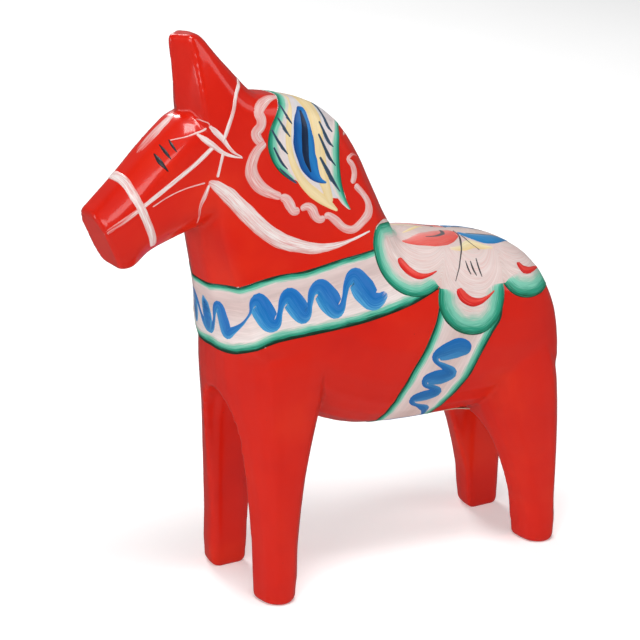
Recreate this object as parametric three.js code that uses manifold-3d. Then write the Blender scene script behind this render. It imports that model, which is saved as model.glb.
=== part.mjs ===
// A carved and painted wooden horse, 200 mm tall, standing on its four feet.
// Millimetres, +Z up, the head towards -X. The horse is symmetric about the plane Y = 0.
// While it is shaped, X = 0 is the middle of the fore feet. The finished group is centred on its box.

import * as THREE from 'three';
import { mergeVertices } from 'three/addons/utils/BufferGeometryUtils.js';
import Module from 'manifold-3d';

const wasm = await Module();
wasm.setup();

// ---------------------------------------------------------------- driving dimensions

// Legs and stance.
const legPitch = 110.6; // middle of the fore feet to middle of the hind feet
const bellyHeight = 51.5; // floor to the lowest line of the belly
const stanceHalf = 26.9; // middle plane to the outer face of a foot
const footLength = 13; // along X
const slotHalf = 13.9; // middle plane to the inner face of a foot
const foreArch = 23.5; // belly line to the top of the arch between the fore legs, at the breast
const hindArch = 6.5; // belly line to the top of the arch between the hind legs
const hindWeb = 14.5; // reach of the hind legs ahead of their feet, at the belly line
const soleRound = 1.4; // rounded rim under each foot
const legCorner = 2.6; // rounding of a leg's inner edges at the foot

// Side outline of the trunk and neck.
const trunkDepth = 71; // belly line to the withers
const withersX = 56; // behind the fore feet
const rumpReach = 9.6; // rump behind the middle of the hind feet
const breastReach = 13.5; // breast in front of the middle of the fore feet
const neckRise = 54.5; // withers to the poll, where the ear begins
const pollX = 1.5;

// Front outline: half thickness of the horse from the trunk up to the head.
const trunkHalf = 26.3;
const neckHalf = 15.5; // half way up the neck
const headHalf = 12.5; // at the cheeks and the poll
const muzzleHalf = 10;

// Head and ear.
const browX = -25.5; // crease in front of the ear
const browDrop = 3; // poll down to that crease
const earRise = 26; // crease to the top of the ear
const earTopHalf = 5.8; // half thickness of the ear at its top

// Paper label under the belly.
const labelLength = 24;
const labelWidth = 15;
const labelThickness = 0.3;
const labelGap = 0.3; // keeps the paper's solid clear of the wood
const labelClear = 0.8; // rear edge of the label to the front of the hind legs
const labelLift = 1.8; // how far its loose rear edge curls away

// Fineness of the faceted surface.
const arcSteps = 3; // points on each rounded corner of a section
const loftSteps = 3; // rings between two stations

// ---------------------------------------------------------------- shared positions

const withersZ = bellyHeight + trunkDepth;
const hindX = legPitch;
const foreCrown = bellyHeight + foreArch;
const hindCrown = bellyHeight + hindArch;
const labelX = hindX - footLength / 2 - hindWeb - labelClear - labelLength / 2;
const pollZ = withersZ + neckRise;
const browZ = pollZ - browDrop;

// ---------------------------------------------------------------- solids

// A geometry with shared corners as a manifold solid.
function toSolid(geometry) {
  const bare = geometry.clone();
  bare.deleteAttribute('normal');
  bare.deleteAttribute('uv');
  const merged = mergeVertices(bare, 1e-4);
  const mesh = new wasm.Mesh({
    numProp: 3,
    vertProperties: new Float32Array(merged.attributes.position.array),
    triVerts: new Uint32Array(merged.index.array),
  });
  return new wasm.Manifold(mesh);
}

function toGeometry(solid) {
  const mesh = solid.getMesh();
  const geometry = new THREE.BufferGeometry();
  geometry.setAttribute('position', new THREE.BufferAttribute(mesh.vertProperties, mesh.numProp));
  geometry.setIndex(new THREE.BufferAttribute(mesh.triVerts, 1));
  geometry.computeVertexNormals();
  return geometry;
}

// A closed skin through rings of points, all with the same number of points, with flat ends.
function skin(rings) {
  const count = rings[0].length;
  const points = rings.flat();
  const faces = [];
  for (let ring = 0; ring < rings.length - 1; ring += 1) {
    for (let i = 0; i < count; i += 1) {
      const a = ring * count + i;
      const b = ring * count + ((i + 1) % count);
      faces.push(a, b, a + count);
      faces.push(b, b + count, a + count);
    }
  }
  for (const [ring, flip] of [[0, true], [rings.length - 1, false]]) {
    const centre = points.length;
    const middle = new THREE.Vector3();
    rings[ring].forEach((point) => middle.add(point));
    points.push(middle.divideScalar(count));
    for (let i = 0; i < count; i += 1) {
      const a = ring * count + i;
      const b = ring * count + ((i + 1) % count);
      faces.push(centre, flip ? b : a, flip ? a : b);
    }
  }
  const geometry = new THREE.BufferGeometry();
  geometry.setFromPoints(points);
  geometry.setIndex(volume(points, faces) < 0 ? faces.reverse() : faces);
  return geometry;
}

// Six times the volume inside a closed skin, below zero when its faces point inwards.
function volume(points, faces) {
  let sum = 0;
  for (let i = 0; i < faces.length; i += 3) {
    const across = points[faces[i + 1]].clone().cross(points[faces[i + 2]]);
    sum += points[faces[i]].dot(across);
  }
  return sum;
}

// ---------------------------------------------------------------- sections

// One carved section: a polygon across the horse. It lies in the plane through the points low
// and high of the middle plane, each an [x, z] pair, and across Y. The corners of one side are
// [half width, depth] pairs, lowCorners measured inwards from low and highCorners from high.
// round is the share of each edge taken by the rounding of its corners, 0 sharp to 1 full.
function section(low, high, lowCorners, highCorners, round) {
  const start = new THREE.Vector3(low[0], 0, low[1]);
  const end = new THREE.Vector3(high[0], 0, high[1]);
  const along = end.clone().sub(start).normalize();
  const place = (from, step, y) => from.clone().addScaledVector(along, step).setY(y);
  const half = [
    ...lowCorners.map(([y, depth]) => place(start, depth, y)),
    ...highCorners.map(([y, depth]) => place(end, -depth, y)).reverse(),
  ];
  const mirrored = half.map((point) => point.clone().setY(-point.y)).reverse();
  return { corners: [...half, ...mirrored], round };
}

// Three corners from a flat to a side: the middle one lies outside the straight chamfer between
// them by the share bulge of the way to the square corner.
function shoulder(flat, side, cut, bulge) {
  const middle = (1 + bulge) / 2;
  return [
    [flat, 0],
    [THREE.MathUtils.lerp(flat, side, middle), cut * (1 - middle)],
    [side, cut],
  ];
}

// The section's polygon with each corner rounded by a short curve.
function ring({ corners, round }) {
  const points = [];
  corners.forEach((corner, i) => {
    const before = corners[(i + corners.length - 1) % corners.length];
    const after = corners[(i + 1) % corners.length];
    const curve = new THREE.QuadraticBezierCurve3(
      corner.clone().lerp(before, round / 2),
      corner,
      corner.clone().lerp(after, round / 2),
    );
    for (let step = 0; step < arcSteps; step += 1) {
      points.push(curve.getPoint(step / (arcSteps - 1) * (1 - 1e-3)));
    }
  });
  return points;
}

// Sections between the given ones, each corner running on a smooth curve through them.
function blend(sections, steps = loftSteps) {
  const paths = sections[0].corners.map((_, i) => (
    new THREE.CatmullRomCurve3(sections.map((each) => each.corners[i]), false, 'centripetal')
  ));
  const last = sections.length - 1;
  const result = [];
  for (let step = 0; step <= last * steps; step += 1) {
    const t = step / (last * steps);
    const at = Math.min(Math.floor(t * last), last - 1);
    const round = THREE.MathUtils.lerp(sections[at].round, sections[at + 1].round, t * last - at);
    result.push({ corners: paths.map((path) => path.getPoint(t)), round });
  }
  return result;
}

function loft(sections, steps) {
  return toSolid(skin(blend(sections, steps).map(ring)));
}

// ---------------------------------------------------------------- trunk and neck

// The front outline: half thickness at a height, full on the trunk and drawn in up the neck.
const frontOutline = [
  [withersZ - 36, trunkHalf],
  [withersZ - 28, trunkHalf - 1.2],
  [withersZ - 16, trunkHalf - 4.6],
  [withersZ - 4, (trunkHalf + neckHalf) / 2 - 1.5],
  [withersZ + 14, neckHalf],
  [withersZ + 32, (neckHalf + headHalf) / 2],
  [pollZ, headHalf],
];

function halfAt(z) {
  let [below] = frontOutline;
  for (const point of frontOutline) {
    if (point[0] >= z) {
      const share = point[0] === below[0] ? 0 : (z - below[0]) / (point[0] - below[0]);
      return THREE.MathUtils.lerp(below[1], point[1], THREE.MathUtils.clamp(share, 0, 1));
    }
    below = point;
  }
  return below[1];
}

// A section of the trunk or neck, whose side corners keep to the front outline.
function bodySection(low, high, flats, cuts, bulges, round) {
  const rise = (high[1] - low[1]) / Math.hypot(high[0] - low[0], high[1] - low[1]);
  return section(
    low,
    high,
    shoulder(flats[0], halfAt(low[1] + cuts[0] * rise), cuts[0], bulges[0]),
    shoulder(flats[1], halfAt(high[1] - cuts[1] * rise), cuts[1], bulges[1]),
    round,
  );
}

// The trunk and neck are one form from the rump along the barrel, round the breast and up to the
// poll. The back points gather at the withers, where the sections fan out.
function trunkSections() {
  const b = bellyHeight;
  const w = withersZ;
  const rump = hindX + rumpReach;
  const breast = -breastReach;
  const barrel = [0.25, 0.4];
  return [
    section([rump, b + 14], [rump, b + 33], shoulder(8, 14.8, 5, 0.4), shoulder(8, 14.8, 6, 0.4), 0.9),
    section([rump - 3, b + 6], [rump - 3, b + 45], shoulder(10, 21.5, 12, 0.4), shoulder(8, 20, 13, 0.4), 1),
    section([hindX, b + 1.5], [hindX, b + 56], shoulder(10, 25.2, 17, 0.4), shoulder(9, 23, 20, 0.4), 1),
    bodySection([hindX - 12, b + 0.6], [hindX - 12, b + 63], [9, 10], [18, 25], barrel, 1),
    bodySection([hindX - 31, b + 0.4], [hindX - 31, b + 67], [9, 10], [19, 27], barrel, 1),
    bodySection([withersX + 4, b + 0.8], [withersX + 10, w - 1.2], [9, 10], [19, 27], barrel, 1),
    bodySection([38, b + 3], [withersX + 1, w], [9, 9], [19, 27], barrel, 1),
    bodySection([20, b + 10], [withersX - 1.6, w + 2.4], [9, 8], [18, 26], barrel, 1),
    bodySection([4, b + 22], [withersX - 3, w + 5.5], [9, 8], [15, 25], [0.3, 0.4], 0.9),
    bodySection([-7, b + 29], [withersX - 5.2, w + 9.6], [9, 7], [12, 23], [0.2, 0.4], 0.7),
    bodySection([breast + 0.5, b + 38], [withersX - 8, w + 15], [9, 7], [8, 20], [0.1, 0.4], 0.5),
    bodySection([breast - 1.2, b + 50], [withersX - 11.4, w + 22], [8, 7], [7, 18], [0, 0.4], 0.45),
    bodySection([breast - 3.5, b + 63], [withersX - 15, w + 30], [6.2, 6.5], [6, 16], [0, 0.4], 0.45),
    bodySection([breast - 5.6, b + 74], [withersX - 22, w + 41], [5.6, 6], [5.4, 13], [0, 0.35], 0.45),
    bodySection([breast - 6.5, b + 83], [withersX - 31, w + 49], [6, 5.5], [5, 11], [0.1, 0.35], 0.5),
    bodySection([breast - 6, b + 94], [14, pollZ - 1.6], [8, 5.5], [4.5, 9], [0.3, 0.35], 0.5),
    bodySection([breast - 8, b + 106], [pollX + 5, pollZ], [8, 5], [4.5, 8], [0.3, 0.35], 0.5),
    ...earSections(),
  ];
}

// The ear carries the neck on upwards as one wedge. Its front is a blunt prow, and beside that
// a facet spreads downwards from nothing at the top to the full half width at the brow.
function earSections() {
  const z = browZ;
  const top = browZ + earRise;
  const h = headHalf;
  const t = earTopHalf;
  const front = (cheek, cheekDepth, side, sideDepth) => [[0.4, 0], [cheek, cheekDepth], [side, sideDepth]];
  return [
    section([browX + 1, z - 3], [pollX, pollZ + 1], front(5.4, 2.4, h - 0.2, 4.6), shoulder(4, h - 0.4, 8, 0.3), 0.3),
    section([browX - 0.2, z + 6], [pollX - 8, z + 12], front(5.5, 3.2, h - 1.7, 4.9), shoulder(3.6, h - 2.4, 6, 0.2), 0.2),
    section([browX - 1.2, z + 17], [-12.6, z + 19], front(5.7, 4.4, 7.8, 5.4), shoulder(3, 7, 4, 0.2), 0.2),
    section([browX - 2, top - 1.2], [-17.6, top - 1], front(t, 5.2, t + 0.2, 5.8), shoulder(2.6, t - 0.8, 2, 0), 0.2),
    section([browX - 1.6, top], [-19.6, top], front(t - 0.5, 5, t - 0.4, 5.4), shoulder(2.4, t - 1.2, 1.6, 0), 0.2),
  ];
}

// ---------------------------------------------------------------- head

// The head runs forward and down from inside the neck to the flat end of the muzzle.
function headSections() {
  const b = browZ;
  const h = headHalf;
  const m = muzzleHalf;
  const part = (low, high, flats, sides, cuts, round) => section(
    low,
    high,
    shoulder(flats[0], sides[0], cuts[0], 0.15),
    shoulder(flats[1], sides[1], cuts[1], 0.15),
    round,
  );
  return [
    part([-4, b - 33], [-5, b - 5], [8, 8], [h + 0.6, h - 0.6], [4, 4], 0.6),
    part([-15, b - 36.5], [-14, b - 3], [7, 6.5], [h + 1.5, h], [6, 5], 0.6),
    part([-23.5, b - 39], [browX + 2, b + 0.2], [6, 5], [h + 1, h], [7.5, 7], 0.6),
    part([-31, b - 41.3], [-35, b - 7.6], [6, 4.6], [h, h - 0.7], [8, 7.5], 0.6),
    part([-40, b - 44.6], [-47.5, b - 19.3], [6, 4.2], [m + 1.2, m + 0.8], [7, 7], 0.55),
    part([-46, b - 49], [-55, b - 26], [6, 4.2], [m, m], [6, 6.5], 0.55),
    part([-50.4, b - 49], [-58.8, b - 29.6], [5.8, 4.4], [m - 1, m - 1], [4.5, 5], 0.6),
  ];
}

// ---------------------------------------------------------------- legs

// A pair of legs starts as one block as wide as the horse, with carved outer corners.
// rows: [height, front x, back x, outer half width, front flat, front cut, back flat, back cut]
function legBlock(rows) {
  const sections = rows.map(([z, front, back, outer, frontFlat, frontCut, backFlat, backCut]) => (
    section([front, z], [back, z], [[frontFlat, 0], [outer, frontCut]], [[backFlat, 0], [outer, backCut]], 0.6)
  ));
  return loft(sections, 2);
}

// The gap between two legs of a pair: an arch that runs through along X.
// rows: [x, height of its crown, extra half width at the floor]
function legGap(rows, springShare) {
  const archPoints = 9;
  const narrowing = 0.86; // half width where the arch springs, as a share of the one at the feet
  const rings = rows.map(([x, crown, flare]) => {
    const spring = crown * springShare;
    const half = [new THREE.Vector3(x, slotHalf + flare + soleRound, -1)];
    half.push(new THREE.Vector3(x, slotHalf + flare, soleRound));
    for (let i = 0; i < archPoints; i += 1) {
      const turn = i / archPoints * Math.PI / 2;
      const y = (slotHalf * narrowing + flare / 2) * Math.cos(turn);
      half.push(new THREE.Vector3(x, y, spring + (crown - spring) * Math.sin(turn)));
    }
    const mirrored = half.map((point) => point.clone().setY(-point.y)).reverse();
    return [...half, new THREE.Vector3(x, 0, crown), ...mirrored];
  });
  return toSolid(skin(rings));
}

function foreLegs() {
  const half = footLength / 2;
  const s = stanceHalf;
  const r = soleRound;
  const b = breastReach;
  const side = trunkHalf;
  const belly = bellyHeight;
  const block = legBlock([
    [0, -half + r, half - r, s - r, s - 5.5, 3.5, s - 5, 3.5],
    [r, -half, half, s, s - 5, 4, s - 4.5, 4],
    [belly - 31.5, -half - 0.4, half + 1.4, s, s - 6, 4, s - 5, 4],
    [belly - 6.5, -half - 2.2, half + 6, s + 0.2, s - 10, 5, s - 8, 5],
    [belly + 12.5, -b + 2.4, half + 12, side, s - 14, 7, s - 11, 6],
    [belly + 24.5, -b + 0.2, half + 17, side - 0.2, s - 17, 8.5, s - 13, 8],
    [belly + 36.5, -b - 0.3, half + 21, side - 1, s - 17, 9, s - 15, 10],
    [belly + 46.5, -b + 0.2, half + 22, side - 3.4, s - 18, 9, s - 17, 11],
    [belly + 58.5, -b + 3, half + 20, side - 11, s - 21, 9, s - 20, 10],
  ]);
  const gap = legGap([
    [-30, foreCrown + 3, 4],
    [-half - 1, foreCrown - 0.5, legCorner],
    [-half + 2, foreCrown - 2, 0],
    [half - 2, foreCrown - 5, 0],
    [half + 3, foreCrown - 9, legCorner],
    [30, belly + 2, 4],
  ], 0.72);
  return { block, gap };
}

function hindLegs() {
  const half = footLength / 2;
  const x = hindX;
  const s = stanceHalf;
  const r = soleRound;
  const side = trunkHalf;
  const belly = bellyHeight;
  const block = legBlock([
    [0, x - half + r, x + half - r, s - r, s - 5, 3.5, s - 5.5, 3.5],
    [r, x - half, x + half, s, s - 4.5, 4, s - 5, 4],
    [belly - 35.5, x - half - 1.8, x + half + 0.5, s, s - 5, 4, s - 6, 4],
    [belly - 15.5, x - half - 8, x + half + 1.8, s, s - 8, 5, s - 8, 4.5],
    [belly + 2.5, x - half - hindWeb - 1.1, x + half + 3, s, s - 11, 6.5, s - 10, 6],
    [belly + 18.5, x - half - 21, x + rumpReach - 0.2, side - 0.4, s - 14, 9, s - 12, 7],
    [belly + 32.5, x - half - 23, x + rumpReach - 2, side - 2.4, s - 15, 10, s - 16, 9],
    [belly + 45.5, x - half - 20, x + rumpReach - 8, side - 9, s - 18, 10, s - 19, 9],
  ]);
  const gap = legGap([
    [x - 44, belly - 12, 4],
    [x - half - 4, hindCrown - 4, legCorner],
    [x - half, hindCrown - 1, 0],
    [x + half - 2, hindCrown, 0],
    [x + half + 1, hindCrown + 1, legCorner],
    [x + 30, hindCrown + 5, 4],
  ], 0.7);
  return { block, gap };
}

// ---------------------------------------------------------------- label

// Height of the underside of the barrel at x along the horse and y across it.
function bellyHeightAt(rows, x, y) {
  const at = rows.findIndex((row, i) => row.x >= x && rows[i + 1].x <= x);
  const [fore, aft] = [rows[at + 1], rows[at]];
  const share = (x - fore.x) / (aft.x - fore.x);
  return THREE.MathUtils.lerp(heightAt(fore.ring, y), heightAt(aft.ring, y), share);
}

// Height of the lower half of a ring at y.
function heightAt(points, y) {
  let height = Infinity;
  points.forEach((point, i) => {
    const next = points[(i + 1) % points.length];
    if ((point.y - y) * (next.y - y) <= 0 && point.y !== next.y) {
      const share = (y - point.y) / (next.y - point.y);
      height = Math.min(height, THREE.MathUtils.lerp(point.z, next.z, share));
    }
  });
  return height;
}

// A closed sheet: a grid of points, and the same grid lower down by its thickness.
function sheet(rows, thickness) {
  const across = rows[0].length;
  const last = rows.length - 1;
  const upper = rows.flat();
  const drop = upper.length;
  const points = [...upper, ...upper.map((point) => point.clone().setZ(point.z - thickness))];
  const faces = [];
  const quad = (a, b, c, d) => faces.push(a, b, c, a, c, d);
  for (let i = 0; i < last; i += 1) {
    const [near, far] = [i * across, (i + 1) * across];
    for (let j = 0; j < across - 1; j += 1) {
      quad(near + j, far + j, far + j + 1, near + j + 1);
      quad(drop + near + j + 1, drop + far + j + 1, drop + far + j, drop + near + j);
    }
    quad(far, near, drop + near, drop + far);
    quad(near + across - 1, far + across - 1, drop + far + across - 1, drop + near + across - 1);
  }
  for (let j = 0; j < across - 1; j += 1) {
    quad(j, j + 1, drop + j + 1, drop + j);
    const end = last * across + j;
    quad(end + 1, end, drop + end, drop + end + 1);
  }
  const geometry = new THREE.BufferGeometry();
  geometry.setFromPoints(points);
  geometry.setIndex(faces);
  return geometry;
}

// The paper label: a thin sheet bent to the belly, with its rear edge curling free.
function label() {
  const belly = blend(trunkSections()).map((each) => {
    const points = ring(each);
    return { ring: points, x: points[0].x };
  });
  const across = 6;
  const along = 8;
  const rows = [];
  for (let i = 0; i <= along; i += 1) {
    const u = i / along;
    const x = labelX + labelLength * (u - 0.5);
    const lift = labelGap + labelLift * u ** 4;
    const row = [];
    for (let j = 0; j <= across; j += 1) {
      const y = labelWidth * (j / across - 0.5);
      row.push(new THREE.Vector3(x, y, bellyHeightAt(belly, x, y) - lift));
    }
    rows.push(row);
  }
  return sheet(rows, labelThickness);
}

// ---------------------------------------------------------------- assembly

function carvedBody() {
  const fore = foreLegs();
  const hind = hindLegs();
  return loft(trunkSections())
    .add(fore.block)
    .add(hind.block)
    .subtract(fore.gap)
    .subtract(hind.gap)
    .add(loft(headSections()));
}

const lacquer = new THREE.MeshStandardMaterial({ color: 0xd8240c, roughness: 0.25, metalness: 0 });
const body = new THREE.Mesh(toGeometry(carvedBody()), lacquer);
body.name = 'carved_body';

const paper = new THREE.MeshStandardMaterial({ color: 0xe9e2cf, roughness: 0.8, metalness: 0 });
const sticker = new THREE.Mesh(label(), paper);
sticker.name = 'belly_label';

// The group's origin is on the floor in the middle of the carved body's box.
const middle = new THREE.Box3().setFromObject(body).getCenter(new THREE.Vector3());
const group = new THREE.Group();
for (const piece of [body, sticker]) {
  piece.position.x = -middle.x;
  group.add(piece);
}

export default group;
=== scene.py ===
import math
import random

import bpy
import numpy as np
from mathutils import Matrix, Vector
from mathutils.bvhtree import BVHTree


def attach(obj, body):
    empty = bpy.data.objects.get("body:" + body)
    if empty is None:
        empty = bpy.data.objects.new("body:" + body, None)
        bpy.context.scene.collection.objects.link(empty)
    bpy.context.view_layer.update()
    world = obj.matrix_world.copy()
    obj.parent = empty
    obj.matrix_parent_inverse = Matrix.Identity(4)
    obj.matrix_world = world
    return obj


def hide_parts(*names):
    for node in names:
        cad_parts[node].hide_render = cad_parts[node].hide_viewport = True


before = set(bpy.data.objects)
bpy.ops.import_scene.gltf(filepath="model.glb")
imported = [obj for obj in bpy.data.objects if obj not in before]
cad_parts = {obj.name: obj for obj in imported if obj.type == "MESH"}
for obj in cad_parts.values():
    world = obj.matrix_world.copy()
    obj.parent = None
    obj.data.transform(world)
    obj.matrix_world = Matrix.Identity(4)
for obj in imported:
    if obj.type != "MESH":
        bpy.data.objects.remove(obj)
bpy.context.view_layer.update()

# A dala horse: one carved and lacquered body, with each brush stroke of its painting laid on it
# as a thin raised film. Paths are in millimetres in the frame: X runs from head to tail, Z up,
# and the left side, at -Y, is the one that is written out. The right side repeats it with a
# small wander in each stroke.

MM = 0.001
LEFT = -1
RIGHT = 1

# ---------------------------------------------------------------- sizes

VOXEL = 0.8  # mesh size of the carved surface
SOFTEN_ROUNDS = 26
COATING = 0.3  # primer and lacquer over the wood
FILM = 0.045  # thickness of one coat of brush paint
OVERLAP = 0.003  # how far each stroke of a film lies above the one before it
SINK = 0.05  # how far the rim of a stroke goes under the surface
UNDER_SINK = 1.5  # times SINK, how far its underside does
INWARD = 0.92  # lean of a rim that lies inside its edge and just laps over it
STEP = 0.6  # spacing of the points of a stroke
THINNEST = 0.12  # least width of a stroke
FRAY = 0.06  # share by which a stroke's width wanders
FRAY_LENGTH = 3.0  # distance over which it does
STRAY = 0.25  # wander of the right side's painting, in millimetres and degrees
PATTERN_SIZE = 10.0  # millimetres to one unit of a stroke's bristle pattern
PATTERN_SPREAD = 60.0  # the part of the pattern from which strokes are drawn
SIDE_START = 60.0  # where a ray towards a side of the horse starts, from the middle
SIDE_NEAR = 8.0  # where the nearest surface is looked for if that ray misses
BREAST_START = -120.0  # X where a ray towards the breast starts
WRAP_START = 120.0  # where a ray towards an axis starts, from the axis
WRAP_NEAR = 20.0  # where the nearest surface is looked for if that ray misses
TOP_START = 240.0  # height where a ray down to the crest starts
FULL_TURN = 360
TRUNK_AXIS = 90.0  # height of the line round which the trunk's painting is laid out
CREST_AXIS = 150.0  # the same for the mane
CHEST_AXIS = -5.0  # X of the upright line round which the breast band is laid out

# ---------------------------------------------------------------- colours, sRGB 0 to 255

RED = (214, 28, 4)
DEEP_RED = (178, 18, 6)
CHALK = (236, 218, 214)
PALE_CHALK = (246, 238, 235)
SHADED_CHALK = (222, 208, 202)
COOL_CHALK = (214, 216, 222)
ROSE = (230, 168, 160)
MINT = (122, 204, 178)
SEA = (40, 158, 128)
GREEN = (12, 112, 82)
BOTTLE = (10, 44, 26)
BLUE = (14, 108, 186)
DEEP_BLUE = (8, 74, 148)
NAVY = (16, 32, 58)
CREAM = (240, 212, 152)
INK = (30, 28, 34)
SLATE = (72, 98, 118)
CORAL = (236, 102, 94)


# ---------------------------------------------------------------- camera and light, in metres

LENS = 135
SENSOR = 36
CAMERA_TARGET = (-1.2, 0, 92.5)  # in millimetres, as is the distance
CAMERA_DISTANCE = 846.1
CAMERA_AZIMUTH = -30.08
CAMERA_ELEVATION = 18.24
FLOOR_REACH = 6.0
FLOOR_GLOW = 0.25
WORLD_STRENGTH = 0.12
LIGHTS = [  # name, place, aim, size of the panel, watts
    ("top_softbox", (-0.15, -0.3, 1.2), (0, 0, 0.1), (0.5, 0.4), 8.4),
    ("left_softbox", (-0.9, -0.9, 0.75), (0, 0, 0.09), (0.8, 0.6), 6.4),
    ("right_softbox", (1.0, -0.7, 0.7), (0, 0, 0.09), (0.7, 0.7), 3),
    ("front_panel", (-1.3, 0.5, 0.25), (-0.03, 0, 0.1), (0.6, 0.5), 3),
    ("back_panel", (0.2, 1.15, 0.95), (0, 0, 0.1), (0.4, 0.5), 9),
]


def linear(colour):
    """An sRGB colour of 0 to 255 as linear RGBA."""
    def channel(value):
        value /= 255
        return value / 12.92 if value <= 0.04045 else ((value + 0.055) / 1.055) ** 2.4
    return tuple(channel(value) for value in colour) + (1.0,)


# ---------------------------------------------------------------- the carved surface

def neighbour_mean(points, edges, counts):
    total = np.zeros_like(points)
    for axis in range(3):
        total[:, axis] += np.bincount(edges[:, 0], points[edges[:, 1], axis], len(points))
        total[:, axis] += np.bincount(edges[:, 1], points[edges[:, 0], axis], len(points))
    return total / counts[:, None]


def soften(mesh, rounds):
    """Takes the edge off the facets, as primer and lacquer do, and keeps the size."""
    points = np.empty(len(mesh.vertices) * 3)
    mesh.vertices.foreach_get("co", points)
    points = points.reshape(-1, 3)
    edges = np.empty(len(mesh.edges) * 2, dtype=np.int64)
    mesh.edges.foreach_get("vertices", edges)
    edges = edges.reshape(-1, 2)
    counts = np.bincount(edges.ravel(), minlength=len(points)).astype(float)
    shrink, grow = 0.6, -0.62
    for _ in range(rounds):
        for pull in (shrink, grow):
            points += pull * (neighbour_mean(points, edges, counts) - points)
    mesh.vertices.foreach_set("co", points.ravel())
    mesh.update()
    normals = np.empty(len(points) * 3)
    mesh.vertices.foreach_get("normal", normals)
    points += COATING * MM * normals.reshape(-1, 3)
    points[:, 2] = np.maximum(points[:, 2], 0)
    mesh.vertices.foreach_set("co", points.ravel())
    mesh.update()


def carve(node):
    """The fine body: the carved solid remeshed, with its facets softened."""
    rough = bpy.data.objects.new("rough_body", node.data.copy())
    bpy.context.collection.objects.link(rough)
    remesh = rough.modifiers.new("remesh", "REMESH")
    remesh.mode = "VOXEL"
    remesh.voxel_size = VOXEL * MM
    depsgraph = bpy.context.evaluated_depsgraph_get()
    mesh = bpy.data.meshes.new_from_object(rough.evaluated_get(depsgraph))
    bpy.data.objects.remove(rough)
    soften(mesh, SOFTEN_ROUNDS)
    mesh.materials.clear()
    mesh.shade_smooth()
    body = bpy.data.objects.new("carved_horse", mesh)
    bpy.context.collection.objects.link(body)
    return body


def surface_of(body):
    mesh = body.data
    points = np.empty(len(mesh.vertices) * 3)
    mesh.vertices.foreach_get("co", points)
    points = (points.reshape(-1, 3) / MM).tolist()
    return BVHTree.FromPolygons(points, [tuple(face.vertices) for face in mesh.polygons])


body = carve(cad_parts["carved_body"])
surface = surface_of(body)


def side(x, z, hand=LEFT):
    """The point of the horse's side at x and z."""
    hit = surface.ray_cast(Vector((x, hand * SIDE_START, z)), Vector((0, -hand, 0)))[0]
    return hit if hit else surface.find_nearest(Vector((x, hand * SIDE_NEAR, z)))[0]


def chest(y, z):
    """The point of the breast at y and z."""
    return surface.ray_cast(Vector((BREAST_START, y, z)), Vector((1, 0, 0)))[0]


class Wrap:
    """Lays a flat pattern round an axis: along X at a height, or upright at an X."""

    def __init__(self, along_x, offset):
        self.along_x = along_x
        self.offset = offset

    def flat(self, point):
        """Place along the axis and angle round it in degrees, 0 on top or at the breast."""
        if self.along_x:
            return point.x, math.degrees(math.atan2(point.y, point.z - self.offset))
        return point.z, math.degrees(math.atan2(point.y, self.offset - point.x))

    def place(self, along, angle):
        turn = math.radians(angle)
        if self.along_x:
            out = Vector((0, math.sin(turn), math.cos(turn)))
            foot = Vector((along, 0, self.offset))
        else:
            out = Vector((-math.cos(turn), math.sin(turn), 0))
            foot = Vector((self.offset, 0, along))
        hit = surface.ray_cast(foot + out * WRAP_START, -out)[0]
        return hit if hit else surface.find_nearest(foot + out * WRAP_NEAR)[0]


trunk = Wrap(True, TRUNK_AXIS)
crest = Wrap(True, CREST_AXIS)
girdle = Wrap(False, CHEST_AXIS)

# ---------------------------------------------------------------- paths


def spline(values, spacing):
    """A smooth line through rows of numbers, the first three a point, evenly spaced."""
    rows = np.array(values, dtype=float)
    rows = np.vstack([2 * rows[0] - rows[1], rows, 2 * rows[-1] - rows[-2]])
    fine = []
    for i in range(1, len(rows) - 2):
        before, start, end, after = rows[i - 1:i + 3]
        for t in np.linspace(0, 1, 12, endpoint=False):
            fine.append(0.5 * (2 * start + (end - before) * t
                               + (2 * before - 5 * start + 4 * end - after) * t ** 2
                               + (3 * start - before - 3 * end + after) * t ** 3))
    fine.append(rows[-2])
    fine = np.array(fine)
    run = np.concatenate([[0], np.cumsum(np.linalg.norm(np.diff(fine[:, :3], axis=0), axis=1))])
    count = max(int(run[-1] / spacing), 4)
    even = np.linspace(0, run[-1], count + 1)
    return np.stack([np.interp(even, run, fine[:, k]) for k in range(fine.shape[1])], 1), even


def resample(values, count):
    """The same as spline, for flat (along, angle) rows, with a fixed number of points."""
    rows = [(along, angle / 2, 0) for along, angle in values]
    fine, run = spline(rows, 0.3)
    even = np.linspace(0, run[-1], count)
    return [(np.interp(e, run, fine[:, 0]), 2 * np.interp(e, run, fine[:, 1])) for e in even]


def wobble(rng, run, size, length):
    """Slow random wander along a stroke."""
    knots = np.arange(0, run[-1] + 2 * length, length)
    return np.interp(run, knots, [rng.uniform(-size, size) for _ in knots])


# ---------------------------------------------------------------- films of paint

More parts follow.
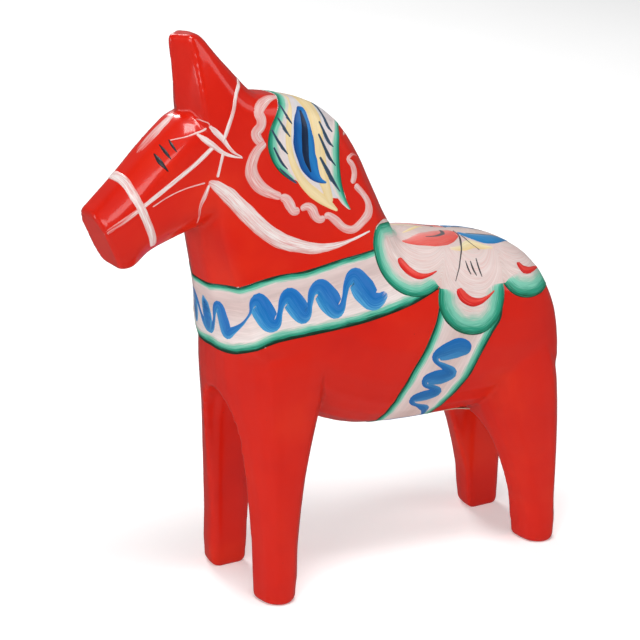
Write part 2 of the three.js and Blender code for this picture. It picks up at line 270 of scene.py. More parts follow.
class Film:
    """One piece of paint: strokes and patches that share a material and a layer."""

    def __init__(self, name, layer, seed):
        self.name = name
        self.height = FILM * layer
        self.rng = random.Random(seed)
        self.points = []
        self.faces = []
        self.marks = []
        self.uvs = []

    def grid(self, rows, marks, uvs):
        """Adds a closed film over a grid of (point, normal) rows."""
        deep, wide = len(rows), len(rows[0])
        first = len(self.points)
        for under in (False, True):
            for i, row in enumerate(rows):
                for j, (point, normal) in enumerate(row):
                    rim = i in (0, deep - 1) or j in (0, wide - 1)
                    lift = -SINK * (UNDER_SINK if under else 1) if rim or under else self.height
                    self.points.append(Vector(point) + normal * lift)
                    self.marks.append(marks[i][j])
                    self.uvs.append(uvs[i][j])
        low = first + deep * wide

        def at(i, j):
            return first + i * wide + j

        def below(i, j):
            return low + i * wide + j

        for i in range(deep - 1):
            for j in range(wide - 1):
                self.faces.append((at(i, j), at(i + 1, j), at(i + 1, j + 1), at(i, j + 1)))
                self.faces.append((below(i, j), below(i, j + 1),
                                   below(i + 1, j + 1), below(i + 1, j)))
        for i in range(deep - 1):
            self.faces.append((at(i, 0), below(i, 0), below(i + 1, 0), at(i + 1, 0)))
            self.faces.append((at(i, wide - 1), at(i + 1, wide - 1),
                               below(i + 1, wide - 1), below(i, wide - 1)))
        for j in range(wide - 1):
            self.faces.append((at(0, j), at(0, j + 1), below(0, j + 1), below(0, j)))
            self.faces.append((at(deep - 1, j), below(deep - 1, j),
                               below(deep - 1, j + 1), at(deep - 1, j + 1)))

    def stroke(self, path, lean=0.0, tone=(0.5, 0.5), flip=False):
        """A brush stroke along rows of (x, y, z, width, load). lean 1 or -1 puts the path at
        an edge of the stroke, and tone goes from its first value to its second along it."""
        rows, run = spline(path, STEP)
        hits = [surface.find_nearest(Vector(row[:3])) for row in rows]
        line = [hit[0] for hit in hits]
        normals = [hit[1] for hit in hits]
        count = len(line)
        widths = np.maximum(rows[:, 3] * (1 + wobble(self.rng, run, FRAY, FRAY_LENGTH)), THINNEST)
        for ends, distance in ((widths[0], run), (widths[-1], run[-1] - run)):
            inward = np.clip(1 - distance / max(ends * 0.5, 0.1), 0, 1)
            widths = np.maximum(widths * np.sqrt(1 - inward ** 2), THINNEST)
        across = max(4, int(max(widths) / STEP))
        shift = [self.rng.uniform(0, PATTERN_SPREAD) for _ in range(2)]
        grid, marks, uvs = [], [], []
        for i in range(count):
            near = normals[max(i - 3, 0):i + 4]
            normal = sum(near, Vector()).normalized()
            along = (line[min(i + 2, count - 1)] - line[max(i - 2, 0)]).normalized()
            sideways = normal.cross(along).normalized()
            row, mark, uv = [], [], []
            for j in range(across + 1):
                v = j / across
                reach = (v - 0.5 + lean / 2) * widths[i]
                hit = surface.find_nearest(line[i] + sideways * reach)
                row.append((hit[0], (hit[1] + normal).normalized()))
                share = i / (count - 1)
                shade = tone[0] + (tone[1] - tone[0]) * share
                mark.append((1 - v if flip else v, rows[i, 4], shade, 1.0))
                uv.append((shift[0] + run[i] / PATTERN_SIZE, shift[1] + reach / PATTERN_SIZE))
            grid.append(row)
            marks.append(mark)
            uvs.append(uv)
        self.grid(grid, marks, uvs)
        self.height += OVERLAP

    def patch(self, wrap, rails, length, across):
        """Paint filled in between rails, each a list of flat (along, angle) places, on a grid of
        length points along the rails and across faces between one and the next."""
        lines = [resample(rail, length) for rail in rails]
        shift = [self.rng.uniform(0, PATTERN_SPREAD) for _ in range(2)]
        total = (len(lines) - 1) * across
        grid, marks, uvs = [], [], []
        for i in range(length):
            row, mark, uv = [], [], []
            previous = None
            width = 0.0
            for j in range(total + 1):
                k = min(j // across, len(lines) - 2)
                share = j / across - k
                (a, b), (c, d) = lines[k][i], lines[k + 1][i]
                point = wrap.place(a + (c - a) * share, b + (d - b) * share)
                normal = surface.find_nearest(point)[1]
                width += (point - previous).length if previous else 0.0
                previous = point
                row.append((point, normal))
                mark.append((j / total, 1.0, 0.5, 1.0))
                uv.append((0.0, width / PATTERN_SIZE))
            grid.append(row)
            marks.append(mark)
            uvs.append(uv)
        along = np.zeros(total + 1)
        for i in range(length):
            for j in range(total + 1):
                if i:
                    along[j] += (grid[i][j][0] - grid[i - 1][j][0]).length
                uvs[i][j] = (shift[0] + along[j] / PATTERN_SIZE, shift[1] + uvs[i][j][1])
        self.grid(grid, marks, uvs)

    def done(self, material):
        """Makes the piece."""
        mesh = bpy.data.meshes.new(self.name)
        mesh.from_pydata([point * MM for point in self.points], [], self.faces)
        layer = mesh.uv_layers.new(name="stroke")
        loops = np.empty(len(mesh.loops), dtype=np.int64)
        mesh.loops.foreach_get("vertex_index", loops)
        layer.data.foreach_set("uv", np.array(self.uvs)[loops].ravel())
        mark = mesh.color_attributes.new("mark", "FLOAT_COLOR", "POINT")
        mark.data.foreach_set("color", np.array(self.marks).ravel())
        mesh.materials.append(material)
        mesh.shade_smooth()
        mesh.update()
        piece = bpy.data.objects.new(self.name, mesh)
        bpy.context.collection.objects.link(piece)
        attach(piece, "root")
        return piece


def on_side(rows, hand, rng):
    """Rows of (x, z, width[, load]) on one side. The right side strays a little, as a second
    painting of the same pattern does."""
    path = []
    for row in rows:
        x, z, width = row[:3]
        load = row[3] if len(row) > 3 else 1.0
        if hand == RIGHT:
            x += rng.uniform(-STRAY, STRAY)
            z += rng.uniform(-STRAY, STRAY)
        path.append((*side(x, z, hand), width, load))
    return path


def on_trunk(rows, hand, rng):
    """The same for rows of (x, angle from the top, width[, load])."""
    path = []
    for row in rows:
        x, angle, width = row[:3]
        load = row[3] if len(row) > 3 else 1.0
        if hand == RIGHT:
            x += rng.uniform(-STRAY, STRAY)
            angle = -angle + rng.uniform(-STRAY, STRAY)
        path.append((*trunk.place(x, angle), width, load))
    return path


def both_sides(film, place, strokes, **options):
    """Paints the same strokes on the left and the right."""
    for hand in (LEFT, RIGHT):
        for rows in strokes:
            mirrored = dict(options)
            if hand == RIGHT:
                mirrored["lean"] = -options.get("lean", 0.0)
                mirrored["flip"] = not options.get("flip", False)
            film.stroke(place(rows, hand, film.rng), **mirrored)


def across_crest(rows, tops, rng):
    """A stroke from the left side over the top to the right side. tops are (x, y, width) as
    seen from above, from the left to the middle."""
    left = on_side(rows, LEFT, rng)
    right = on_side(rows, RIGHT, rng)[::-1]
    seen = tops + [(x, -y, width) for x, y, width in tops[-2::-1]]
    down = Vector((0, 0, -1))
    over = [(*surface.ray_cast(Vector((x, y, TOP_START)), down)[0], width, 1.0)
            for x, y, width in seen]
    return left + over + right


# ---------------------------------------------------------------- materials

class Nodes:
    """Short forms for making a material's nodes."""

    def __init__(self, name):
        self.material = bpy.data.materials.new(name)
        self.material.use_nodes = True
        self.tree = self.material.node_tree
        self.shader = self.tree.nodes["Principled BSDF"]

    def make(self, kind, inputs=None, **settings):
        node = self.tree.nodes.new(kind)
        for key, value in settings.items():
            setattr(node, key, value)
        for key, value in (inputs or {}).items():
            self.join(value, node.inputs[key])
        return node

    def join(self, value, socket):
        if isinstance(value, bpy.types.NodeSocket):
            self.tree.links.new(value, socket)
        else:
            socket.default_value = value

    def math(self, operation, a, b=0.0, clamp=False):
        node = self.make("ShaderNodeMath", {0: a, 1: b}, operation=operation, use_clamp=clamp)
        return node.outputs[0]

    def noise(self, vector, scale, detail=2.0, rough=0.5, stretch=(1, 1, 1)):
        moved = self.make("ShaderNodeMapping", {"Vector": vector, "Scale": stretch})
        node = self.make("ShaderNodeTexNoise", {"Vector": moved.outputs[0], "Scale": scale,
                                                "Detail": detail, "Roughness": rough})
        return node.outputs["Fac"]

    def ramp(self, value, stops, smooth=True):
        node = self.make("ShaderNodeValToRGB", {"Fac": value})
        node.color_ramp.interpolation = "EASE" if smooth else "LINEAR"
        elements = node.color_ramp.elements
        while len(elements) < len(stops):
            elements.new(0.5)
        for element, (place, colour) in zip(elements, stops):
            element.position = place
            element.color = linear(colour) if isinstance(colour, tuple) else (colour,) * 3 + (1,)
        return node.outputs["Color"]

    def mix(self, share, a, b, blend="MIX"):
        node = self.make("ShaderNodeMix", data_type="RGBA", blend_type=blend)
        colours = [socket for socket in node.inputs if socket.type == "RGBA"]
        self.join(share, node.inputs[0])
        self.join(a, colours[0])
        self.join(b, colours[1])
        return [socket for socket in node.outputs if socket.type == "RGBA"][0]

    def bump(self, height, strength, distance):
        node = self.make("ShaderNodeBump", {"Height": height, "Strength": strength,
                                            "Distance": distance})
        self.join(node.outputs[0], self.shader.inputs["Normal"])

    def finish(self, **values):
        for key, value in values.items():
            self.join(value, self.shader.inputs[key.replace("_", " ")])
        return self.material


def lacquer():
    """Red lacquer over carved and primed wood."""
    dark_share, fleck_share = 0.25, 0.35
    knife_height, grain_height = 0.7, 0.22
    nodes = Nodes("red_lacquer")
    place = nodes.make("ShaderNodeTexCoord").outputs["Object"]
    cloud = nodes.noise(place, 28, 3, 0.5)
    drag = nodes.noise(place, 60, 3, 0.6, (0.25, 1, 1))
    grain = nodes.noise(place, 420, 2, 0.6, (0.06, 1, 1))
    colour = nodes.ramp(cloud, [(0.3, (206, 22, 3)), (0.5, RED), (0.72, (222, 40, 8))])
    colour = nodes.mix(nodes.math("MULTIPLY", drag, dark_share), colour, linear(DEEP_RED))
    fleck = nodes.ramp(nodes.noise(place, 900, 1), [(0.80, 0.0), (0.84, 1.0)], False)
    colour = nodes.mix(nodes.math("MULTIPLY", fleck, fleck_share), colour, linear((70, 8, 6)))
    knife = nodes.make("ShaderNodeTexVoronoi", {"Vector": place, "Scale": 55.0},
                       feature="SMOOTH_F1").outputs["Distance"]
    height = nodes.math("ADD", nodes.math("MULTIPLY", knife, knife_height),
                        nodes.math("MULTIPLY", grain, grain_height))
    nodes.bump(height, 0.35, 0.0004)
    return nodes.finish(Base_Color=colour, Roughness=0.36, Specular_IOR_Level=0.2,
                        Coat_Weight=0.6, Coat_Roughness=0.1, IOR=1.48)


def brush_paint(name, stops, under=RED, bristle=0.30, hide=0.0, light=1.12, thin=0.62):
    """Brush paint whose colour runs across the stroke through stops. Bristle streaks shift it,
    and where the load is low the colour under it shows. hide above 0 covers more, and the
    nearer thin is to 1, the more softly the colour under it comes through."""
    dark = 0.82
    broad_share, hair_share = 0.7, 0.6
    ragged_rim, ragged_strength = 0.07, 4.0
    nodes = Nodes(name)
    uv = nodes.make("ShaderNodeUVMap", uv_map="stroke").outputs[0]
    mark = nodes.make("ShaderNodeAttribute", attribute_name="mark").outputs["Color"]
    split = nodes.make("ShaderNodeSeparateColor", {0: mark})
    across, load, tone = split.outputs[0], split.outputs[1], split.outputs[2]
    hair = nodes.noise(uv, 1.0, 3, 0.6, (1.3, 26, 1))
    broad = nodes.noise(uv, 1.0, 2, 0.5, (0.8, 7, 1))
    shifted = nodes.math("ADD", across, nodes.math(
        "MULTIPLY", nodes.math("SUBTRACT", hair, 0.5), bristle))
    colour = nodes.ramp(shifted, stops)
    swing = nodes.math("ADD", nodes.math("MULTIPLY", broad, broad_share),
                       nodes.math("MULTIPLY", hair, hair_share))
    swing = nodes.math("ADD", swing, nodes.math("SUBTRACT", tone, 1.15))
    shade = nodes.ramp(nodes.math("ADD", swing, 0.5), [(0.25, dark), (0.75, 1.0)], False)
    colour = nodes.mix(1.0, colour, shade, "MULTIPLY")
    glow = nodes.math("MULTIPLY", nodes.math("SUBTRACT", swing, 0.08, True), light - 0.7)
    colour = nodes.mix(glow, colour, linear(PALE_CHALK))
    edge = nodes.math("MINIMUM", across, nodes.math("SUBTRACT", 1.0, across))
    ragged = nodes.math("MULTIPLY", nodes.math("SUBTRACT", ragged_rim, edge, True),
                        ragged_strength)
    cover = nodes.math("ADD", load, nodes.math("MULTIPLY", nodes.math(
        "SUBTRACT", hair, 0.5), 1.5))
    cover = nodes.math("SUBTRACT", cover, ragged)
    cover = nodes.ramp(nodes.math("ADD", cover, hide), [(0.22, 0.0), (thin, 1.0)], False)
    colour = nodes.mix(cover, linear(under), colour)
    nodes.bump(nodes.math("MULTIPLY", hair, cover), 0.5, 0.00012)
    return nodes.finish(Base_Color=colour, Roughness=0.4, Specular_IOR_Level=0.3,
                        Coat_Weight=0.25, Coat_Roughness=0.12, IOR=1.48)


def label_paper():
    """Plain aged paper."""
    nodes = Nodes("label_paper")
    place = nodes.make("ShaderNodeTexCoord").outputs["Object"]
    fibre = nodes.noise(place, 1500, 4, 0.7, (1, 0.4, 1))
    stain = nodes.noise(place, 90, 3, 0.5)
    colour = nodes.ramp(stain, [(0.3, (236, 228, 206)), (0.7, (224, 210, 178))])
    colour = nodes.mix(nodes.math("MULTIPLY", fibre, 0.25), colour, linear((196, 182, 150)))
    nodes.bump(fibre, 0.4, 0.0001)
    return nodes.finish(Base_Color=colour, Roughness=0.82)


# ---------------------------------------------------------------- the halter

NOSEBAND = [(-70.0, 132.0, 2.6, 0.8), (-71.2, 135.6, 3.0), (-73.0, 140.6, 3.1),
            (-75.2, 146.2, 3.1), (-77.0, 150.6, 3.4)]
NOSEBAND_TOP = [(-78.0, -5.6, 3.6), (-78.4, 0, 3.8)]
HALTER_LINES = [
    [(-48.2, 165.0, 1.3), (-50.5, 163.2, 2.0), (-56, 159.1, 2.0), (-64, 153.7, 2.0),
     (-72, 148.4, 2.0), (-76, 145.8, 2.1, 0.75), (-81, 142.7, 2.5, 0.6), (-87.6, 138.6, 2.2, 0.45)],
    [(-71.5, 146.3, 0.7, 0.7), (-66, 149.1, 0.6, 0.8), (-60, 151.2, 0.55, 0.8),
     (-52.5, 152.5, 0.7, 0.8)],
    [(-62.8, 166.9, 0.5, 0.7), (-58, 168.1, 0.6, 0.8), (-54, 169.2, 1.0), (-50.9, 170.5, 0.7)],
    [(-50.2, 170.2, 0.5, 0.6), (-50.6, 172.2, 0.6, 0.6), (-53.0, 173.0, 0.5, 0.5)],
    [(-54.8, 168.9, 0.8), (-52.4, 167.0, 2.4), (-49.2, 164.4, 2.6), (-45.9, 161.8, 1.8),
     (-42.3, 160.2, 1.0), (-38.6, 159.2, 0.4)],
    [(-50.5, 171.4, 0.8), (-48.4, 169.1, 2.6), (-45.9, 166.4, 2.5), (-44, 163.6, 1.6),
     (-42, 161.4, 1.1), (-38.9, 159.5, 0.4)],
    [(-45.8, 162.4, 1.7), (-47.2, 158, 1.2), (-48.4, 153.6, 1.3)],
    [(-51.3, 151.8, 1.2), (-53, 148, 1.9, 0.8), (-54.7, 144.4, 1.3, 0.7),
     (-54.8, 140.5, 0.8, 0.55), (-54.6, 138.0, 0.5, 0.45)],
    [(-51.6, 152.7, 1.4, 0.7), (-48.6, 150.8, 4.0), (-44.5, 147.1, 5.7), (-39.5, 141.6, 6.4),
     (-33.3, 134.9, 6.6), (-27.2, 130.2, 6.2), (-20.5, 127.3, 5.0), (-13.5, 125.3, 3.9),
     (-6, 125.1, 2.4), (1, 126.1, 1.2), (9.2, 127.9, 0.6)],
]
# A pale streak along the forehead's midline, laid in halter chalk: a painted highlight that stands
# in for the gleam on the head's top facet.
FOREHEAD_HIGHLIGHT = [(-56.6, 173.0, 1.4, 0.7), (-59.0, 171.2, 4.0, 0.9), (-63.0, 168.2, 5.4, 0.8),
            (-67.0, 164.8, 5.0, 0.6), (-70.8, 161.6, 3.0, 0.4)]
EAR_STRAP = [(-46.0, 165.2, 1.2), (-43.9, 169.6, 1.6), (-41.4, 175.0, 1.5), (-39.9, 179.6, 1.6),
             (-37.6, 182.2, 1.9)]
EAR_STRAP_TOP = [(-34.8, 0, 1.9)]
EYE_TICKS = [
    [(-62.9, 167.3, 0.3), (-62.6, 165.6, 1.1), (-61.7, 163.3, 0.3)],
    [(-65.8, 165.7, 0.3), (-65.0, 163.6, 1.4), (-63.8, 161.1, 0.3)],
    [(-68.1, 163.1, 0.4), (-67.3, 160.7, 1.9), (-65.2, 157.3, 0.3)],
]

# ---------------------------------------------------------------- the mane

MANE_FRONT = [(-4.6, 141.0), (-11.5, 144.6), (-18.5, 148.6), (-24.6, 152.6), (-28.0, 157.0),
              (-29.4, 162.4), (-28.3, 167.8), (-25.2, 172.6)]
MANE_REAR = [(0.6, 139.6), (-0.9, 145), (-1.3, 150), (-1.1, 155), (-0.5, 160), (0.9, 163.4),
             (2.6, 164.6), (3.6, 164.2)]
MANE_FRONT_TOP = -20.6
MANE_REAR_TOP = 4.6
FRONT_RIM = [(-20.2, 148.6, 1.6), (-24.6, 151.9, 3.6), (-28.0, 156.6, 4.6), (-29.5, 162.2, 5.2),
             (-28.3, 167.8, 5.0), (-25.2, 172.6, 4.6)]
REAR_RIM = [(2.0, 136.2, 0.6), (0.5, 140, 2.6), (-0.7, 145, 4.6), (-1.1, 150, 5.0),
            (-0.9, 155, 5.0), (-0.2, 160, 4.6), (1.2, 163.1, 3.8), (2.8, 164.0, 3.2)]
CREAM_BANDS = [
    [(-18.6, 174.6, 2.0), (-20.8, 168, 2.6), (-21.2, 161, 2.8), (-19.6, 154, 3.0),
     (-15.8, 147.4, 3.8), (-10.8, 142.6, 4.4), (-6.2, 138.9, 2.6), (-3.4, 136.6, 0.8)],
    [(-10.8, 173.6, 7.6), (-9.8, 168, 5.6), (-9.6, 160, 4.8), (-8.8, 150, 4.6),
     (-7.4, 144.5, 3.6), (-6.0, 139.4, 2.4)],
]
BLUE_LEAF = [(-14.6, 173.2, 2.4), (-15.6, 168.5, 6.6), (-15.4, 162, 8.6), (-14.4, 156, 8.0),
             (-12.4, 151, 5.6), (-9.9, 148.0, 2.2), (-7.0, 146.7, 0.4)]
LEAF_CORE = [(-15.4, 172.4, 0.8), (-14.8, 167, 3.2), (-15.0, 161, 3.6), (-14.8, 156, 2.8),
             (-13.2, 150.8, 0.6)]
MANE_TICKS = [
    [(-25.2, 171.5, 1.0), (-22.6, 167.0, 1.4), (-20.4, 163.8, 0.4)],
    [(-23.4, 175.2, 0.9), (-21.2, 171.0, 1.4), (-19.4, 168.0, 0.4)],
    [(-27.8, 167.8, 1.0), (-24.6, 162.0, 1.5), (-21.6, 158.2, 0.4)],
    [(-27.3, 161.8, 1.0), (-24.4, 156.0, 1.5), (-21.9, 153.0, 0.4)],
    [(-25.6, 154.4, 0.6), (-21.8, 150.6, 1.4), (-18.8, 148.0, 0.4)],
    [(-7.6, 172.6, 1.2), (-5.0, 166.2, 1.7), (-2.9, 162.9, 0.4)],
    [(-8.5, 167.9, 1.0), (-5.6, 161.0, 1.7), (-3.2, 158.0, 0.4)],
    [(-9.5, 164.0, 1.0), (-6.0, 156.0, 1.7), (-3.0, 151.6, 0.4)],
    [(-9.6, 156.2, 1.2), (-5.4, 148.2, 2.2), (-1.8, 142.6, 0.4)],
]
CURLS = [
    [(-20.0, 176.3, 2.6), (-24.5, 176.7, 3.8), (-29.2, 176.0, 4.6), (-31.9, 173.8, 4.4),
     (-31.2, 171.2, 4.2), (-31.6, 169.0, 4.2), (-33.6, 167.0, 4.4), (-32.8, 164.6, 4.0),
     (-30.8, 162.8, 3.0)],
    [(-30.0, 163.6, 2.8), (-33.4, 161.0, 4.0), (-35.5, 157.2, 4.8), (-35.9, 153.9, 5.2),
     (-34.4, 150.6, 5.2), (-31.8, 147.8, 4.6), (-28.4, 145.8, 3.8), (-25.0, 144.4, 2.8)],
    [(-25.8, 144.6, 2.8), (-23.6, 143.5, 3.8), (-22.2, 141.4, 4.6), (-20.8, 139.1, 3.8),
     (-18.3, 139.0, 2.4)],
    [(-18.4, 139.2, 2.4), (-15.7, 139.9, 3.2), (-13.7, 138.5, 4.2), (-12.5, 136, 3.8),
     (-10.7, 134.7, 3.0), (-8.6, 135.2, 2.4)],
    [(-9.2, 135.2, 2.4), (-7.4, 135.6, 2.8), (-4.6, 133.5, 3.6), (-1.5, 130.5, 3.5),
     (2, 129.5, 3.2), (6, 131.3, 3.6), (9.3, 134, 4.0), (9.6, 137.5, 3.4), (7.8, 140.7, 2.8),
     (4.4, 144.4, 2.8)],
    [(3.4, 144.6, 2.6), (4.8, 148, 3.0), (4.3, 151, 2.8), (2.6, 153.4, 2.0),
     (5.4, 154.3, 1.2, 0.7), (8.6, 152.8, 0.6, 0.5)],
    [(2.6, 160.8, 0.6), (4.2, 161.2, 1.6), (6.0, 159.4, 1.4, 0.7)],
]

# ---------------------------------------------------------------- the breast band

BAND_TOP_SIDE = [(14, 122.2), (4, 121.3), (-4, 120.7), (-12, 119.6), (-20, 118.7), (-28, 118.8),
                 (-36, 118.0), (-43, 116.6)]
BAND_TOP_CHEST = [(-12, 116.1), (-5, 115.4), (0, 115.2)]
BAND_LOW_SIDE = [(34, 104.6), (28, 102.4), (22, 100.5), (14, 98.8), (4, 97.3), (-6, 96.8),
                 (-16, 96.5), (-25, 96.4), (-33, 96.0), (-38, 94.4), (-41.5, 91.6)]
BAND_LOW_CHEST = [(-13, 90.6), (-5, 90.3), (0, 90.4)]
ZIGZAG_SIDE = [(12.8, 106.6, 2.2, 0.5), (10.2, 104.8, 5.2, 0.8), (7, 104.6, 8.2), (3.6, 109, 9.8),
               (0.5, 113.6, 7.2), (-2.6, 111.8, 3.4), (-4.3, 107.4, 2.2), (-5.8, 104.2, 3.6),
               (-8.0, 104.0, 7.8), (-10.8, 108, 9.6), (-13.6, 112.0, 7.0), (-16.6, 111.2, 3.6),
               (-18, 107.6, 2.4), (-19.2, 104.4, 3.4), (-21.0, 104.2, 7.0), (-23.4, 107.6, 8.6),
               (-25.8, 110.8, 6.8), (-28.3, 109.6, 3.4), (-29.8, 106.3, 2.2), (-31.3, 102.9, 3.6),
               (-33.6, 103.4, 7.8), (-35.6, 107, 9.0), (-37.6, 110.8, 6.8), (-39.3, 110.2, 2.6),
               (-40.2, 107.2, 1.0), (-41.6, 103.2, 1.2)]
ZIGZAG_CHEST = [(-13.6, 99.4, 3.0), (-11.2, 98.4, 5.0), (-9.9, 103, 5.6), (-8.9, 107.6, 4.0),
                (-6.5, 105.6, 2.6), (-5.0, 101.6, 1.6), (-3.2, 98.6, 3.0), (-0.6, 97.6, 5.0),
                (0.2, 102, 6.4), (-0.2, 107.2, 4.6)]

# ---------------------------------------------------------------- girth and saddle, round the trunk

GIRTH_FORE = [(33.8, -64), (31.6, -80), (29.0, -92), (25.0, -106), (20.6, -118), (16.8, -130),
              (14.4, -142), (13.2, -160), (13.0, -180)]
GIRTH_AFT = [(60.4, -70), (58.6, -88), (54.5, -100), (50.4, -112), (45.6, -127), (40.6, -139),
             (37.4, -150), (35.6, -165), (35.2, -180)]
GIRTH_ZIGZAG = [(45.8, 81.4, 4.0, 0.8), (41, 82.7, 7.4), (36, 82.2, 7.4), (31.2, 81.2, 4.4),
                (31.4, 78.9, 2.0), (34.6, 76.6, 2.6), (38.0, 73.6, 4.6), (34.5, 72.8, 6.2),
                (30.5, 73.0, 6.2), (27, 72.8, 4.0), (27.4, 70.6, 1.8), (30.4, 69.2, 2.4),
                (33.2, 67.0, 3.8), (30, 66.2, 5.4), (26, 66.0, 5.0), (23.2, 65.6, 3.4),
                (24.2, 63.4, 1.8), (27.2, 61.8, 2.2), (30.2, 60.0, 3.6), (31.6, 58.4, 3.0)]
GIRTH_UNDER = [(32.6, -158, 1.6), (30, -163, 4.0), (24, -166, 4.6), (20.5, -170, 2.0),
               (24, -175, 2.2), (27, -180, 3.2)]
LOBES = [
    [(23.4, 6), (24.2, 0), (23.4, -6), (21.2, -13), (16.8, -18.6), (12.6, -21.8), (10.2, -26),
     (9.7, -31), (10.8, -38), (13.2, -45.5), (16.6, -52.5), (20.6, -57.8), (25.2, -60.4),
     (30, -59.2), (34.2, -55.4)],
    [(34.0, -56), (33.3, -63), (33.2, -70), (33.9, -77), (36, -84.5), (40, -92.5), (45, -97),
     (50, -97.8), (54, -94.5), (57.6, -87), (59.8, -77), (60.7, -68), (61.0, -60)],
    [(61.0, -61), (63.4, -68), (67, -73.4), (72, -76), (77.5, -75), (82, -70.5), (85, -63.5),
     (86.4, -54), (86.6, -40), (86.2, -20), (85.8, 0)],
]
SADDLE_FRONT = [(27.4, 0), (26.4, -6), (23.6, -13), (18.6, -19)]  # the ground under the first rim
FRONT_LOBE_POINTS = 5  # points of the first lobe that the saddle's front stands in for
CREST_STEPS = 8
LOBE_RIMS = [6.4, 8.8, 9.4]
CRESCENTS = [
    [(20.2, -33, 1.8), (20.6, -36, 3.6), (22.8, -41.6, 3.8), (26.6, -46.2, 3.0),
     (30.5, -46.6, 1.6), (34.4, -44.8, 0.4)],
    [(42.0, -58.4, 2.0), (42.2, -62, 3.8), (43.8, -67, 4.6), (46.9, -71.3, 4.2),
     (50.6, -71.8, 2.9), (54, -69.0, 1.5), (57, -65, 0.4)],
    [(70.3, -44.6, 1.6, 0.8), (70.5, -48.5, 3.6), (72, -52.6, 4.2), (75.4, -52.6, 3.0),
     (79, -49.6, 1.9), (82.6, -44.5, 0.6)],
]
SADDLE_TICKS = [
    [(47.4, -39.5, 0.3, 0.6), (47.3, -46, 0.9), (48.2, -51.5, 0.3)],
    [(49.4, -40, 0.3, 0.6), (49.4, -47, 1.1), (50.5, -53, 0.3)],
    [(52.3, -38.5, 0.5, 0.8), (51.9, -47, 0.9), (52.6, -54.5, 0.3)],
]
SADDLE_VEINS = [
    [(40.8, -54.5, 0.3, 0.7), (43.6, -45, 0.6), (47.2, -33, 0.8), (50.2, -22, 1.2),
     (52.0, -12, 1.0), (52.6, -4, 0.6)],
    [(52.4, -14, 0.6), (53.4, -24, 0.4), (55.4, -34, 0.3, 0.6)],
]
RED_PETAL = [(24.8, -21, 0.4), (29.4, -21.4, 4.4), (35, -20.6, 8.4), (41, -18.6, 10.4),
             (46, -14.6, 9.6), (50, -9.5, 6.6), (51.6, -5.0, 3.0)]
PETAL_SHADOW = [(35.5, -18.4, 0.3), (40.5, -17.6, 1.4), (45, -13.4, 2.8), (46.6, -8.0, 3.0),
                (46.4, -4.6, 1.4)]
BLUE_PETAL = [(52.8, -8, 1.2), (56, -15, 5.4), (61, -18.4, 8.4), (67, -16.6, 7.4),
              (72.4, -11, 4.0), (76.4, -5.4, 0.6)]
BLUE_VEIN = [(56, -10, 0.5), (62, -11.4, 1.2), (68, -9.4, 0.8), (73, -7, 0.3)]
CREAM_HEART = [(42.6, -30.4, 1.4, 0.5), (48.6, -30.2, 3.4, 0.7), (53.6, -26.4, 5.6, 0.8),
               (58, -29.8, 3.6, 0.7), (62.4, -31.6, 1.2, 0.4)]
CREAM_LEAF = [(28.6, -11, 0.8, 0.7), (32.6, -7.4, 2.2), (37, -2.4, 2.4), (41, 2, 1.0, 0.7)]


def paint_halter():
    chalk = brush_paint("halter_paint", [(0.0, ROSE), (0.25, CHALK), (0.6, PALE_CHALK),
                                         (1.0, CHALK)], bristle=0.5, hide=-0.12, thin=1.05)
    film = Film("halter_strokes", 1, 11)
    both_sides(film, on_side, HALTER_LINES)
    film.done(chalk)
    bands = Film("noseband_ear_strap_and_painted_highlight", 3, 12)
    bands.stroke(across_crest(NOSEBAND, NOSEBAND_TOP, bands.rng))
    bands.stroke(across_crest(EAR_STRAP, EAR_STRAP_TOP, bands.rng))
    # The forehead streak is a painted highlight in the halter's chalk, not a strap.
    bands.stroke([(x, 0, z, width, load) for x, z, width, load in FOREHEAD_HIGHLIGHT])
    bands.done(chalk)
    ink = brush_paint("eye_ink", [(0.0, INK), (1.0, INK)], hide=0.3)
    ticks = Film("eye_lashes", 2, 13)
    both_sides(ticks, on_side, EYE_TICKS)
    ticks.done(ink)


def mirror(rows):
    return [(along, -angle) for along, angle in rows]


def beyond_belly(rows):
    """The rows after the line under the belly, on the right side, for rows that end on it."""
    return [(x, -FULL_TURN - angle, *rest) for x, angle, *rest in rows[-2::-1]]


